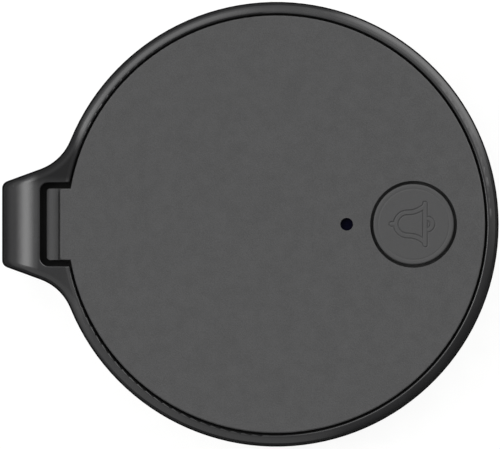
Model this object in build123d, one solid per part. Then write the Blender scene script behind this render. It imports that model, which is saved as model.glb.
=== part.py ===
"""Round wireless tracker tag: a flat disc with a key-ring bail, a lift-off front cover and one push button.

The frame: millimetres, +Z up through the front cover, origin on the disc's axis in its flat rear face.
The bail points along -X, and the push button sits on the +X side.
Each function below makes one piece of the tag, and the last section writes one STEP file per piece.
"""

from build123d import *
import math
import os

# %% Driving dimensions: the outside
BODY_R = 20.0  # outer radius of the rear shell, the widest piece
LEDGE = 0.15  # the rear shell stands this far proud of the bezel, all round
THICKNESS = 7.5  # rear face to the face of the front cover
BEZEL_TOP = 7.3  # highest point of the bezel, a little under the cover's face
PARTING_Z = 2.4  # the bezel stands on the rear shell here
BAIL_REACH = 24.65  # disc axis to the tip of the rear shell's foot, under the bail
BAIL_TIP_HALF_WIDTH = 3.71  # half the bail's width, measured at its tip
BAIL_FLARE = 20.1  # degrees that each side of the bail opens towards the disc
BAIL_BLEND_R = 4.6  # concave radius between the bail's side and the disc
BAIL_ROUND_X = -21.4  # the bail's top starts to curve down here
BAIL_NOSE_Z = 3.6  # and is upright from here down
BAIL_EDGE_R = 0.7  # rounding of the bail's and bezel's outer edges
MOUTH_R = 0.16  # rounding of the bezel's inner edge
SLOT_RIM_R = 0.12  # rounding round the slot for the pry tab
SLOT_CORNER_R = 0.8
FOOT_BOTTOM = 0.75  # underside of the foot, clear of the surface that the tag lies on
FOOT_NOSE_Z = 2.2  # the foot's tip is upright from here up
FOOT_ROOT_X = -18.5  # the foot grows out of the rear shell here
RING_BORE_R = 1.4  # hole for the key ring, through the bail along Y
RING_BORE_X = -22.15
RING_BORE_Z = 4.0

# %% Driving dimensions: the front cover, its button and its light
COVER_R = 18.72
COVER_T = 1.1
COVER_WELL_R = 18.9  # recess in the bezel that the cover drops into
TAB_HALF_WIDTH = 3.2  # the pry tab, which reaches into the bail
TAB_STEP_X = -19.38  # edge of the tab's upper face
TAB_TIP_X = -20.59  # end of the lower lip under that edge
TAB_LIP_DROP = 0.34  # the lip's crest lies this much under the cover's face
TAB_GAP = 0.55  # gap between the tab and the bezel, at both sides
TAB_TIP_GAP = 0.61  # gap between the lip and the bezel
BUTTON_X = 12.31
BUTTON_R = 3.62
BUTTON_HOLE_R = 3.9
BUTTON_TRAVEL = 0.25
LIGHT_X = 6.31
LIGHT_R = 0.55
LIGHT_RECESS = 0.5  # the light pipe ends this far under the cover's face

# %% Driving dimensions: the stack of layers inside
FLOOR_T = 0.9  # the rear shell's floor
LEDGE_TOP = 1.2  # annular ledge that carries the sounder
BOND_T = 0.1  # adhesive ring between the ledge and the sounder
SOUNDER_R = 10.0
PLATE_T = 0.2
CERAMIC_R = 7.0
CERAMIC_T = 0.2
BOARD_BOTTOM = 2.1
BOARD_T = 0.6
BOARD_R = 16.6
CELL_R = 10.0  # a 2032 coin cell: 20 mm across and 3.2 mm thick
CELL_T = 3.2
CELL_X = -5.6
CELL_BOTTOM = 3.05
SEAL_MAJOR_R = 17.21
SEAL_MINOR_R = 0.33
SEAL_Z = 5.45
SEAL_GROOVE_H = 0.76
COVER_SKIRT_IN_R = 16.2
COVER_SKIRT_OUT_R = 17.45
COVER_SKIRT_BOTTOM = 4.75
REAR_SEAL_IN_R = 18.75  # square ring between the bezel and the rear shell
REAR_SEAL_OUT_R = 19.25
REAR_SEAL_H = 0.38
SCREW_RING_R = 14.6
SCREW_ANGLES = (48, 115, -115, -48)
SCREW_HEAD_R = 1.15
SCREW_HEAD_H = 0.65
SOUND_HOLE_R = 0.4
SOUND_HOLE_PITCH = 1.5
SOUND_HOLE_X = 5.0

# %% Values worked out from those
BOARD_TOP = BOARD_BOTTOM + BOARD_T
CELL_TOP = CELL_BOTTOM + CELL_T
COVER_BOTTOM = THICKNESS - COVER_T
SOUNDER_BOTTOM = LEDGE_TOP + BOND_T
PLATE_TOP = SOUNDER_BOTTOM + PLATE_T
CERAMIC_TOP = PLATE_TOP + CERAMIC_T
SHELF_Z = COVER_BOTTOM - 0.05  # ledge in the bezel under the cover's rim
SEAL_BORE_R = 17.6  # the bezel's bore that the cover's seal grips
LOWER_BORE_R = 18.3  # the bezel's lower bore, round the rear shell's upstand
LOWER_BORE_TOP = 4.5
SLOT_FLOOR_Z = 5.9  # floor of the bezel's slot under the pry tab
UPSTAND_IN_R = 17.2
UPSTAND_OUT_R = 18.2
UPSTAND_TOP = 4.4
LUG_R = 2.0
LUG_BOTTOM = BOARD_TOP + 0.02
LUG_TOP = 4.3
LUG_HOLE_R = 0.8
BOSS_R = 1.6
PILOT_R = 0.6
SLICE = 0.15  # thickness of the spring-steel strips
TOUCH = 0.02  # clearance left under each strip's contact point


# %% Helpers
def revolved(points):
    """The closed (radius, height) outline, turned a full turn about Z."""
    return revolve(Plane.XZ * make_face(Polyline(*points, close=True)), axis=Axis.Z)


def disc(radius, bottom, top, x=0.0, y=0.0):
    """A plain cylinder on a vertical axis through (x, y)."""
    return Pos(x, y, bottom) * Cylinder(radius, top - bottom, align=(Align.CENTER, Align.CENTER, Align.MIN))


def washer(inner, outer, bottom, top, x=0.0, y=0.0):
    """A flat ring on a vertical axis through (x, y)."""
    return disc(outer, bottom, top, x, y) - disc(inner, bottom - 1, top + 1, x, y)


def block(x_size, y_size, bottom, top, x=0.0, y=0.0):
    """A box centred on (x, y)."""
    standing = (Align.CENTER, Align.CENTER, Align.MIN)
    return Pos(x, y, bottom) * Box(x_size, y_size, top - bottom, align=standing)


def span(x_low, x_high, half_width, bottom, top):
    """A box from x_low to x_high, as wide on both sides of the XZ plane."""
    return block(x_high - x_low, 2 * half_width, bottom, top, x=(x_low + x_high) / 2)


def strip(path, width, y=0.0):
    """Thin sheet metal bent along a path of (x, z) points, centred on y."""
    radii = [2 * SLICE] * (len(path) - 2)
    line = FilletPolyline(*path, radius=radii)
    face = Plane.XZ * Sketch(trace(line, SLICE).faces())
    return Pos(0, y + width / 2, 0) * extrude(face, amount=width)


def polar(radius, angle):
    """(x, y) of a point at that radius and angle in degrees."""
    return radius * math.cos(math.radians(angle)), radius * math.sin(math.radians(angle))


SCREW_PLACES = [polar(SCREW_RING_R, angle) for angle in SCREW_ANGLES]


# %% The outside
def bail_plan():
    """Outline of the whole tag from above: the disc and the flared bail, joined by concave arcs."""
    spread = math.tan(math.radians(BAIL_FLARE))
    root_x, end_x = -12.0, -BAIL_REACH - 2
    root_half = BAIL_TIP_HALF_WIDTH + (BAIL_REACH + root_x) * spread
    end_half = BAIL_TIP_HALF_WIDTH + (BAIL_REACH + end_x) * spread
    wedge = make_face(Polyline((end_x, end_half), (end_x, -end_half), (root_x, -root_half),
                               (root_x, root_half), close=True))
    plan = Circle(BODY_R) + wedge
    waist = [v for v in plan.vertices() if abs(math.hypot(v.X, v.Y) - BODY_R) < 0.01 and v.X < -15]
    return fillet(waist, BAIL_BLEND_R)


def nose(reach, level, spring_z):
    """Side view of the upper or lower half: level, then a quarter ellipse, then upright to the parting."""
    rise = level - spring_z
    tip_x, far_x = BAIL_ROUND_X - reach, BODY_R + 1
    arc = EllipticalCenterArc((BAIL_ROUND_X, spring_z), reach, abs(rise), 90 if rise > 0 else 180)
    rest = Polyline((tip_x, spring_z), (tip_x, PARTING_Z), (far_x, PARTING_Z), (far_x, level),
                    (BAIL_ROUND_X, level))
    return extrude(Plane.XZ * make_face([arc, *rest.edges()]), amount=BODY_R + 1, both=True)


def outline_edges(body, low, high):
    """Edges whose middles lie between two heights, without the upright ones."""
    upright = body.edges().filter_by(Axis.Z)
    return [edge for edge in body.edges() if low < (edge @ 0.5).Z < high and edge not in upright]


def bezel_frame():
    """The glossy ring that holds everything, with the bail moulded on."""
    reach = BAIL_REACH - LEDGE + BAIL_ROUND_X
    body = extrude(offset(bail_plan(), -LEDGE), amount=THICKNESS + 1) & nose(reach, BEZEL_TOP, BAIL_NOSE_Z)
    body = fillet(outline_edges(body, PARTING_Z + 0.01, THICKNESS), BAIL_EDGE_R)
    body -= bezel_inside()
    body -= tab_slot()
    body = fillet([edge for edge in body.edges() if on_slot_rim(edge)], SLOT_RIM_R)
    body -= Pos(RING_BORE_X, 0, RING_BORE_Z) * Rot(90, 0, 0) * Cylinder(RING_BORE_R, 3 * BODY_R)
    for angle in SCREW_ANGLES:
        body += screw_lug(angle)
    for x, y in SCREW_PLACES:
        body -= disc(LUG_HOLE_R, 0, BEZEL_TOP, x, y)
    return body


def on_slot_rim(edge):
    """True for the top edges of the slot that the pry tab reaches into."""
    middle = edge @ 0.5
    over_slot = middle.X < -COVER_WELL_R and abs(middle.Y) < TAB_HALF_WIDTH + TAB_GAP + 0.01
    return over_slot and abs(middle.Z - BEZEL_TOP) < 1e-3


def bezel_inside():
    """What the bezel leaves free: the lower bore, the seal's bore, and the cover's well with its mouth."""
    mouth_z = BEZEL_TOP - MOUTH_R
    lean = MOUTH_R * math.sqrt(0.5)
    mouth = ThreePointArc((COVER_WELL_R, mouth_z), (COVER_WELL_R + MOUTH_R - lean, mouth_z + lean),
                          (COVER_WELL_R + MOUTH_R, BEZEL_TOP))
    rest = Polyline((COVER_WELL_R + MOUTH_R, BEZEL_TOP), (COVER_WELL_R + MOUTH_R, BEZEL_TOP + 1),
                    (0, BEZEL_TOP + 1), (0, 0), (LOWER_BORE_R, 0), (LOWER_BORE_R, LOWER_BORE_TOP),
                    (SEAL_BORE_R, LOWER_BORE_TOP + 0.15), (SEAL_BORE_R, SHELF_Z), (COVER_WELL_R, SHELF_Z),
                    (COVER_WELL_R, mouth_z))
    return revolve(Plane.XZ * make_face([mouth, *rest.edges()]), axis=Axis.Z)


def tab_slot():
    """The rounded slot in the bezel that the pry tab reaches into."""
    half = TAB_HALF_WIDTH + TAB_GAP
    slot = span(TAB_TIP_X - TAB_TIP_GAP, -16.9, half, SLOT_FLOOR_Z, BEZEL_TOP + 1)
    corners = slot.edges().filter_by(Axis.Z).sort_by(Axis.X)[:2]
    return fillet(corners, SLOT_CORNER_R)


def screw_lug(angle):
    """An arm from the bezel's wall that a screw pulls down onto the rear shell's boss."""
    end = disc(LUG_R, LUG_BOTTOM, LUG_TOP, SCREW_RING_R)
    arm = span(SCREW_RING_R, LOWER_BORE_R + 0.4, LUG_R, LUG_BOTTOM, LUG_TOP)
    return Rot(0, 0, angle) * (end + arm)


def rear_shell():
    """The shallow cup that closes the back, with the sounder's ledge and the screw bosses."""
    flat_r = 16.4
    rounding = EllipticalCenterArc((flat_r, PARTING_Z), BODY_R - flat_r, PARTING_Z, 270)
    rest = Polyline((BODY_R, PARTING_Z), (UPSTAND_OUT_R, PARTING_Z), (UPSTAND_OUT_R, UPSTAND_TOP),
                    (UPSTAND_IN_R, UPSTAND_TOP), (UPSTAND_IN_R, FLOOR_T + 0.6), (UPSTAND_IN_R - 0.6, FLOOR_T),
                    (0, FLOOR_T), (0, 0), (flat_r, 0))
    shell = revolve(Plane.XZ * make_face([rounding, *rest.edges()]), axis=Axis.Z)
    shell += bail_foot()
    shell += washer(SOUNDER_R - 1.2, SOUNDER_R + 0.3, FLOOR_T - 0.1, LEDGE_TOP)
    shell -= washer(REAR_SEAL_IN_R - 0.05, REAR_SEAL_OUT_R + 0.05,
                    PARTING_Z - REAR_SEAL_H - 0.02, PARTING_Z + 1)
    for angle, (x, y) in zip(SCREW_ANGLES, SCREW_PLACES):
        shell -= Rot(0, 0, angle) * span(UPSTAND_IN_R - 2, UPSTAND_OUT_R + 0.2, LUG_R + 0.15, BOARD_TOP, 5)
        shell += disc(BOSS_R + 0.6, FLOOR_T - 0.1, BOARD_BOTTOM, x, y)
        shell += disc(BOSS_R, BOARD_BOTTOM - 0.1, LUG_BOTTOM, x, y)
        shell -= disc(PILOT_R, 0.6, LUG_BOTTOM + 1, x, y)
    for x, y in sound_holes():
        shell -= disc(SOUND_HOLE_R, -1, FLOOR_T + 1, x, y)
    return shell


def bail_foot():
    """Tongue of the rear shell that closes the bail from below."""
    reach = BAIL_REACH + BAIL_ROUND_X
    tongue = extrude(bail_plan(), amount=THICKNESS) & nose(reach, FOOT_BOTTOM, FOOT_NOSE_Z)
    tongue = fillet(outline_edges(tongue, 0, PARTING_Z - 0.01), BAIL_EDGE_R)
    tongue &= span(-BAIL_REACH - 1, FOOT_ROOT_X, BODY_R, 0, PARTING_Z)
    return tongue - disc(UPSTAND_IN_R + 0.5, 0, PARTING_Z)


def sound_holes():
    """One hole and six round it, under the sounder."""
    ring = [polar(SOUND_HOLE_PITCH, angle) for angle in range(0, 360, 60)]
    return [(SOUND_HOLE_X, 0.0)] + [(SOUND_HOLE_X + x, y) for x, y in ring]


def rear_seal():
    """Square silicone ring between the bezel and the rear shell."""
    return washer(REAR_SEAL_IN_R, REAR_SEAL_OUT_R, PARTING_Z - REAR_SEAL_H, PARTING_Z)


# %% The front cover and what it carries
def front_cover():
    """The flat face: a disc with the pry tab, a skirt for the seal, and holes for button and light."""
    face = disc(COVER_R, COVER_BOTTOM, THICKNESS)
    upper = span(TAB_STEP_X, -16, TAB_HALF_WIDTH, COVER_BOTTOM, THICKNESS)
    upper = fillet(upper.edges().filter_by(Axis.Z).sort_by(Axis.X)[:2], 0.25)
    cover = face + upper + tab_lip()
    top = cover.faces().sort_by(Axis.Z)[-1]
    cover = fillet(top.edges(), 0.1)
    cover += washer(COVER_SKIRT_IN_R, COVER_SKIRT_OUT_R, COVER_SKIRT_BOTTOM, COVER_BOTTOM + 0.1)
    cover -= washer(SEAL_MAJOR_R - SEAL_MINOR_R - 0.01, SEAL_MAJOR_R + 1,
                    SEAL_Z - SEAL_GROOVE_H / 2, SEAL_Z + SEAL_GROOVE_H / 2)
    cover -= disc(BUTTON_HOLE_R, 0, THICKNESS + 1, BUTTON_X)
    cover -= disc(BUTTON_HOLE_R + 0.42, 0, COVER_BOTTOM, BUTTON_X)
    cover -= disc(LIGHT_R + 0.02, 0, THICKNESS + 1, LIGHT_X)
    return cover


def tab_lip():
    """The lower lip beyond the tab's edge, crowned, with a fine groove where it meets the step."""
    crest_z = THICKNESS - TAB_LIP_DROP
    groove_x = TAB_STEP_X - 0.16
    crown = ThreePointArc((groove_x, crest_z - 0.02), (groove_x - 0.42, crest_z), (TAB_TIP_X, crest_z - 0.34))
    rest = Polyline((TAB_TIP_X, crest_z - 0.34), (TAB_TIP_X, COVER_BOTTOM), (-16, COVER_BOTTOM),
                    (-16, crest_z - 0.2), (groove_x, crest_z - 0.2), (groove_x, crest_z - 0.02))
    profile = extrude(Plane.XZ * make_face([crown, *rest.edges()]), amount=TAB_HALF_WIDTH, both=True)
    return fillet(profile.edges().filter_by(Axis.Z).sort_by(Axis.X)[:2], 0.3)


def light_pipe():
    """Smoked plug that carries the indicator's light to the face."""
    pipe = disc(LIGHT_R, 3.35, THICKNESS - LIGHT_RECESS, LIGHT_X)
    return pipe + disc(0.95, COVER_BOTTOM - 0.4, COVER_BOTTOM, LIGHT_X)


def cover_seal():
    """O-ring in the cover's skirt, which grips the bezel's bore."""
    return Pos(0, 0, SEAL_Z) * Torus(SEAL_MAJOR_R, SEAL_MINOR_R)


def cell_pad():
    """Thin foam disc that keeps the coin cell down."""
    return disc(4.0, CELL_TOP + 0.02, COVER_BOTTOM, CELL_X)


def button_cap():
    """The push button: a flush cap, a flange under the cover's hole and a stem, with a bell symbol cut in."""
    cap = disc(BUTTON_R, COVER_BOTTOM - 0.5, THICKNESS)
    cap += disc(BUTTON_HOLE_R + 0.3, COVER_BOTTOM - 0.5, COVER_BOTTOM - 0.05)
    rim = [e for e in cap.edges() if abs((e @ 0.5).Z - THICKNESS) < 1e-6]
    cap = fillet(rim, 0.15)
    cap -= disc(BUTTON_R - 0.8, COVER_BOTTOM - 1, COVER_BOTTOM + 0.1)
    cap += disc(1.1, 3.9, COVER_BOTTOM + 0.2)
    symbol = extrude(bell_symbol(), amount=1)
    return Pos(BUTTON_X, 0, 0) * (cap - Pos(0, 0, THICKNESS - 0.12) * symbol)


def bell_symbol():
    """A plain bell drawn in one line width, upright when the tag hangs from its bail."""
    width = 0.3
    half, foot, shoulder, crown = 0.95, -0.85, 0.35, 1.35
    right = Spline((0, crown), (half, shoulder), (half + 0.6, foot), tangents=((1, 0), (0.6, -0.55)))
    left = mirror(right, about=Plane.YZ)
    base = Line((-half - 0.75, foot), (half + 0.75, foot))
    clapper = CenterArc((0, foot - 0.12), 0.5, 200, 140)
    knob = Line((0, crown), (0, crown + 0.4))
    strokes = [trace(line, width) for line in (right, left, base, clapper, knob)]
    bell = Sketch() + strokes
    return Rot(0, 0, 90) * bell


# %% The electronics
def circuit_board():
    """Round board, notched round the screw bosses."""
    board = disc(BOARD_R, BOARD_BOTTOM, BOARD_TOP)
    for angle, (x, y) in zip(SCREW_ANGLES, SCREW_PLACES):
        board -= disc(BOSS_R + 0.1, 0, 5, x, y)
        board -= Rot(0, 0, angle) * span(SCREW_RING_R, BOARD_R + 1, BOSS_R + 0.1, 0, 5)
    return board


def radio_chip():
    """The radio and processor, a flat square package."""
    package = block(4, 4, BOARD_TOP, BOARD_TOP + 0.85)
    return Pos(11.0, -6.0, 0) * chamfer(package.edges().group_by(Axis.Z)[-1], 0.08)


def crystal():
    """Timing crystal in its metal can."""
    can = block(3.2, 2.5, BOARD_TOP, BOARD_TOP + 0.75, 10.6, 5.2)
    return fillet(can.edges().filter_by(Axis.Z), 0.4)


def chip_antenna():
    """Ceramic antenna at the edge of the board, far from the bail."""
    return block(1.3, 5.2, BOARD_TOP, BOARD_TOP + 0.9, 15.45)


def indicator_led():
    """Small light under the light pipe: a base and a clear dome."""
    base = block(1.0, 1.6, BOARD_TOP, BOARD_TOP + 0.25, LIGHT_X)
    return base + block(0.8, 1.1, BOARD_TOP, BOARD_TOP + 0.6, LIGHT_X)


def passives():
    """Resistors and capacitors round the radio chip and the switch."""
    places = [(7.6, -4.4, 0), (7.6, -5.6, 0), (7.6, -6.8, 0), (8.2, -8.6, 90), (6.9, -8.6, 90),
              (14.2, -4.4, 0), (14.2, -5.6, 0), (14.0, -6.8, 0), (7.9, 4.3, 0), (7.9, 5.5, 0),
              (13.6, 4.4, 0), (13.6, 5.6, 0)]
    chip = block(1.0, 0.5, BOARD_TOP, BOARD_TOP + 0.35)
    return Compound(children=[Pos(x, y, 0) * Rot(0, 0, turn) * chip for x, y, turn in places])


def power_inductor():
    """Coil that raises the voltage for the sounder."""
    core = block(2.5, 2.5, BOARD_TOP, BOARD_TOP + 1.1, 6.6, 8.4)
    return fillet(core.edges().filter_by(Axis.Z), 0.3)


def switch_body():
    """Plastic base of the push switch, with the well that the dome sits in."""
    base = block(4.5, 4.5, BOARD_TOP, BOARD_TOP + 0.8)
    base = chamfer(base.edges().filter_by(Axis.Z), 0.4) - disc(1.6, BOARD_TOP + 0.15, 5)
    return Pos(BUTTON_X, 0, 0) * base


def switch_plate():
    """Steel plate over the switch that keeps the plunger in."""
    top = BOARD_TOP + 0.8
    plate = block(4.2, 4.2, top, top + 0.1) - disc(0.95, 0, 9)
    return Pos(BUTTON_X, 0, 0) * plate


def switch_dome():
    """The thin snap dome under the plunger, bowed upwards."""
    low, half_width, rise = BOARD_TOP + 0.15, 1.5, 0.36
    bow_r = (half_width**2 + rise**2) / (2 * rise)
    shell = Sphere(bow_r) - Sphere(bow_r - 0.06)
    cap = Pos(0, 0, low + rise - bow_r) * shell & disc(half_width + 0.1, low, low + 1)
    return Pos(BUTTON_X, 0, 0) * cap


def switch_terminals():
    """Four soldered legs of the switch."""
    foot = block(0.8, 0.9, BOARD_TOP, BOARD_TOP + 0.15)
    places = [(sx * 1.5, sy * 2.72) for sx in (-1, 1) for sy in (-1, 1)]
    return Compound(children=[Pos(BUTTON_X + x, y, 0) * foot for x, y in places])


def switch_plunger():
    """The switch's own plunger, just under the button's stem."""
    low = BOARD_TOP + 0.53
    return Pos(BUTTON_X, 0, 0) * (disc(0.85, low, 3.85) + disc(1.35, low, low + 0.2))


# %% The coin cell and its contacts
def cell_can():
    """Positive can of the coin cell, its lower edge crimped over the gasket."""
    low, wall = CELL_BOTTOM + 0.2, 0.25
    can = revolved([(0, CELL_TOP), (CELL_R - 0.25, CELL_TOP), (CELL_R, CELL_TOP - 0.25), (CELL_R, low + 0.3),
                    (CELL_R - 0.4, low), (9.3, low), (9.3, low + wall), (CELL_R - 0.5, low + wall),
                    (CELL_R - wall, low + 0.4), (CELL_R - wall, CELL_TOP - 0.4),
                    (CELL_R - 0.4, CELL_TOP - wall), (0, CELL_TOP - wall)])
    return Pos(CELL_X, 0, 0) * can


def cell_gasket():
    """Nylon ring that insulates the cap from the can."""
    low = CELL_BOTTOM + 0.12
    ring = revolved([(8.85, low), (9.28, low), (9.28, low + 0.35), (9.45, low + 0.35), (9.45, low + 1.2),
                     (9.1, low + 1.2), (9.1, low + 0.5), (8.85, low + 0.5)])
    return Pos(CELL_X, 0, 0) * ring


def cell_cap():
    """Negative cap, the flat face that stands on the lower contact."""
    low, wall = CELL_BOTTOM, 0.25
    cap = revolved([(0, low), (8.5, low), (8.83, low + wall), (8.83, low + 0.64), (9.08, low + 0.64),
                    (9.08, low + 1.2), (8.83, low + 1.2), (8.58, low + 0.8), (8.58, low + wall),
                    (0, low + wall)])
    return Pos(CELL_X, 0, 0) * cap


def cell_core():
    """The cell's filling: the stacked lithium, separator and cathode."""
    return disc(8.5, CELL_BOTTOM + 0.27, CELL_TOP - 0.27, CELL_X)


def cell_cradle():
    """Plastic wall round the cell, open for the positive contact and for a fingertip."""
    wall = washer(CELL_R + 0.15, CELL_R + 0.9, BOARD_TOP, 4.6)
    wall -= Rot(0, 0, 60) * span(CELL_R - 1, CELL_R + 2, 1.7, BOARD_TOP, 6)
    wall -= Rot(0, 0, -60) * span(CELL_R - 1, CELL_R + 2, 3.6, BOARD_TOP + 0.6, 6)
    return Pos(CELL_X, 0, 0) * wall


def positive_contact():
    """Spring blade that leans on the side of the cell's can."""
    touch_x = CELL_R + 0.03 + SLICE / 2
    path = [(12.6, BOARD_TOP + SLICE / 2), (11.3, BOARD_TOP + SLICE / 2), (11.1, 5.2), (10.65, 5.2),
            (touch_x, 4.4), (10.5, 3.6)]
    return Pos(CELL_X, 0, 0) * Rot(0, 0, 60) * strip(path, 2.6)


def negative_contact():
    """Bowed leaf under the middle of the cell."""
    low, high = BOARD_TOP + SLICE / 2, CELL_BOTTOM - TOUCH - SLICE / 2
    path = [(-6.0, low), (-3.0, low), (-1.4, high), (1.4, high), (3.0, low), (6.0, low)]
    return Pos(CELL_X, 0, 0) * strip(path, 4.0)


# %% The sounder
def sounder_plate():
    """Brass disc of the sounder."""
    return disc(SOUNDER_R, SOUNDER_BOTTOM, PLATE_TOP)


def sounder_ceramic():
    """Piezo ceramic on the brass disc."""
    return disc(CERAMIC_R, PLATE_TOP, CERAMIC_TOP)


def sounder_bond():
    """Adhesive ring under the edge of the brass disc."""
    return washer(SOUNDER_R - 1.0, SOUNDER_R, LEDGE_TOP, SOUNDER_BOTTOM)


def sounder_leaf(root_x, tip_x, touch_z):
    """A leaf soldered under the board at root_x, whose tip at tip_x leans on the height touch_z."""
    top, low = BOARD_BOTTOM - SLICE / 2, touch_z + TOUCH + SLICE / 2
    path = [(root_x, top), (root_x - 1.9, top), (tip_x + 0.8, low), (tip_x, low)]
    return Rot(0, 0, 90) * strip(path, 1.6)


def sounder_contacts():
    """Two leaves under the board: one touches the brass, the other the ceramic."""
    return Compound(children=[sounder_leaf(11.5, 7.6, PLATE_TOP), sounder_leaf(6.5, 3.0, CERAMIC_TOP)])


# %% Fasteners
def case_screws():
    """Four pan-head screws with cross recesses."""
    head = disc(SCREW_HEAD_R, LUG_TOP, LUG_TOP + SCREW_HEAD_H)
    head = fillet(head.edges().group_by(Axis.Z)[-1], 0.25)
    slot = block(1.3, 0.32, LUG_TOP + 0.25, LUG_TOP + 1)
    recess = slot + Rot(0, 0, 90) * slot
    screw = head + disc(PILOT_R - 0.02, 0.75, LUG_TOP + 0.1) - recess
    return Compound(children=[Pos(x, y, 0) * screw for x, y in SCREW_PLACES])


# %% Every piece, written to its own file, which has its function's name
PIECES = [
    bezel_frame, rear_shell, rear_seal,
    front_cover, light_pipe, cover_seal, cell_pad, button_cap,
    circuit_board, radio_chip, crystal, chip_antenna, indicator_led, passives, power_inductor,
    switch_body, switch_plate, switch_dome, switch_terminals, switch_plunger,
    cell_can, cell_gasket, cell_cap, cell_core, cell_cradle, positive_contact, negative_contact,
    sounder_plate, sounder_ceramic, sounder_bond, sounder_contacts,
    case_screws,
]

os.makedirs("parts", exist_ok=True)
for make in PIECES:
    export_step(make(), f"parts/{make.__name__}.step")
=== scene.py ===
# %% [markdown]
# # A round key tracker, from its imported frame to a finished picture
# The tag is a flat disc with a key-ring bail, a grey cover that pries off, one push button and a coin
# cell. Its CAD pieces already have their size and place, so this lesson adds finishes, the finer surfaces
# that a moulder, an electronics assembler and a watchmaker would notice, and a small studio. The frame
# comes first, because most later sizes and places are measured from it.

# %% Load the frame
import math

import bmesh
import bpy
import numpy as np
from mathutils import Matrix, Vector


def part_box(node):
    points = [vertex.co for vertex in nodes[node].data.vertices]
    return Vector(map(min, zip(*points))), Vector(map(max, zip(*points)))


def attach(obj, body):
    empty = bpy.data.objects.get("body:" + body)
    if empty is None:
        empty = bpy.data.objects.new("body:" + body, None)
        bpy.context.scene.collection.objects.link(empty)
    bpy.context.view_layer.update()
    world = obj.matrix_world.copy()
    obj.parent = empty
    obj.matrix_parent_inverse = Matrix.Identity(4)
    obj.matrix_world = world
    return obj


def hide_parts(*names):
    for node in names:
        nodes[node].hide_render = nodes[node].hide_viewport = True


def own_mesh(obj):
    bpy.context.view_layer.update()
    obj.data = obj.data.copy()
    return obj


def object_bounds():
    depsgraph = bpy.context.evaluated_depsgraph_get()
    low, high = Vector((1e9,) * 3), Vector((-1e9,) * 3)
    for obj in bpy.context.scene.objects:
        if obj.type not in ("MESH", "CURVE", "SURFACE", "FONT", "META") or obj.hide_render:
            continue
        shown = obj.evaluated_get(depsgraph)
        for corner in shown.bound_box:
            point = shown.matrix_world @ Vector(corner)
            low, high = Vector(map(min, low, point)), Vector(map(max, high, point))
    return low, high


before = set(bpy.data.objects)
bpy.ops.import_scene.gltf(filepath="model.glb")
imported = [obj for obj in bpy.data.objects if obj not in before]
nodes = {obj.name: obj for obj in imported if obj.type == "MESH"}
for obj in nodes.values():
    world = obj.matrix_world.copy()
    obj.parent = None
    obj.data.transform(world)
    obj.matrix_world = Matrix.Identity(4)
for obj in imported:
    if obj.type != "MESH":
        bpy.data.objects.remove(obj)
cad_low, cad_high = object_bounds()
MM = 0.001
print("CAD box in mm:", [round(v / MM, 2) for v in (*cad_low, *cad_high)])

# %% [markdown]
# ## The camera
# The tag is shown square-on from above, as on a catalogue page. A short lens close up would make the
# front look larger than the back and hide the rear shell's edge behind the bezel, so a very long lens
# stands almost two metres away. An orthographic camera would do the same here, but it could not step back
# when the cover is lifted. The lens is aimed at the middle of the tag's own box, within a few hundredths
# of a millimetre.

# %% Camera
LENS = 1500
SENSOR = 36
MARGIN = 1.0042
AIM_SHIFT_X = -0.036 * MM
AIM_Y = -0.02 * MM
NEAR_CLIP = 0.01
view_width = MARGIN * (cad_high.x - cad_low.x)
view_distance = view_width * LENS / SENSOR
camera = bpy.data.objects.new("studio_camera", bpy.data.cameras.new("studio_camera"))
camera.data.lens = LENS
camera.data.sensor_width = SENSOR
camera.data.clip_start = NEAR_CLIP
camera.location = ((cad_low.x + cad_high.x) / 2 + AIM_SHIFT_X, AIM_Y, cad_high.z + view_distance)
bpy.context.scene.collection.objects.link(camera)
bpy.context.scene.camera = camera
bpy.context.scene.view_settings.view_transform = "Standard"
print("camera stands", round(view_distance / MM), "mm above the cover")

# %% [markdown]
# ## Writing a finish as an expression
# A finish in Blender is a net of nodes. Wired by hand it takes a page for one grain pattern, so two short
# classes make a small language. A Field stands for one socket, and the usual operators add Math nodes
# between fields. A Finish holds the tree: its method add makes every other kind of node, a few more
# methods make the patterns that come back in many finishes, and the tree ends in one shader.

# %% A field


class Field:
    """One value that may change over a surface: an output socket that takes part in arithmetic."""

    def __init__(self, finish, socket):
        self.finish = finish
        self.socket = socket

    def maths(self, operation, *terms):
        """A Math node over the terms, in order."""
        return self.finish.add("Math", {"operation": operation}, dict(enumerate(terms)))

    def __add__(self, other):
        return self.maths("ADD", self, other)

    def __sub__(self, other):
        return self.maths("SUBTRACT", self, other)

    def __rsub__(self, other):
        return self.maths("SUBTRACT", other, self)

    def __mul__(self, other):
        return self.maths("MULTIPLY", self, other)

    def twin(self, output):
        """Another output of the same node."""
        return Field(self.finish, self.socket.node.outputs[output])

    __radd__ = __add__
    __rmul__ = __mul__

    def clipped(self):
        """The same value, held between 0 and 1."""
        return self.finish.add("Clamp", {}, {"Value": self})

    def step(self, low, high):
        """0 below low, 1 above high, and a smooth ramp between them."""
        return self.finish.add("MapRange", {"interpolation_type": "SMOOTHSTEP"},
                               {"Value": self, "From Min": low, "From Max": high})

    def near(self, centre, inner, outer):
        """1 while the value is within inner of the centre, fading to 0 at outer."""
        return 1 - self.maths("ABSOLUTE", self - centre).step(inner, outer)


print("a field has the operators + - * and can be clipped, stepped or held near a value")

# %% A finish


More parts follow.
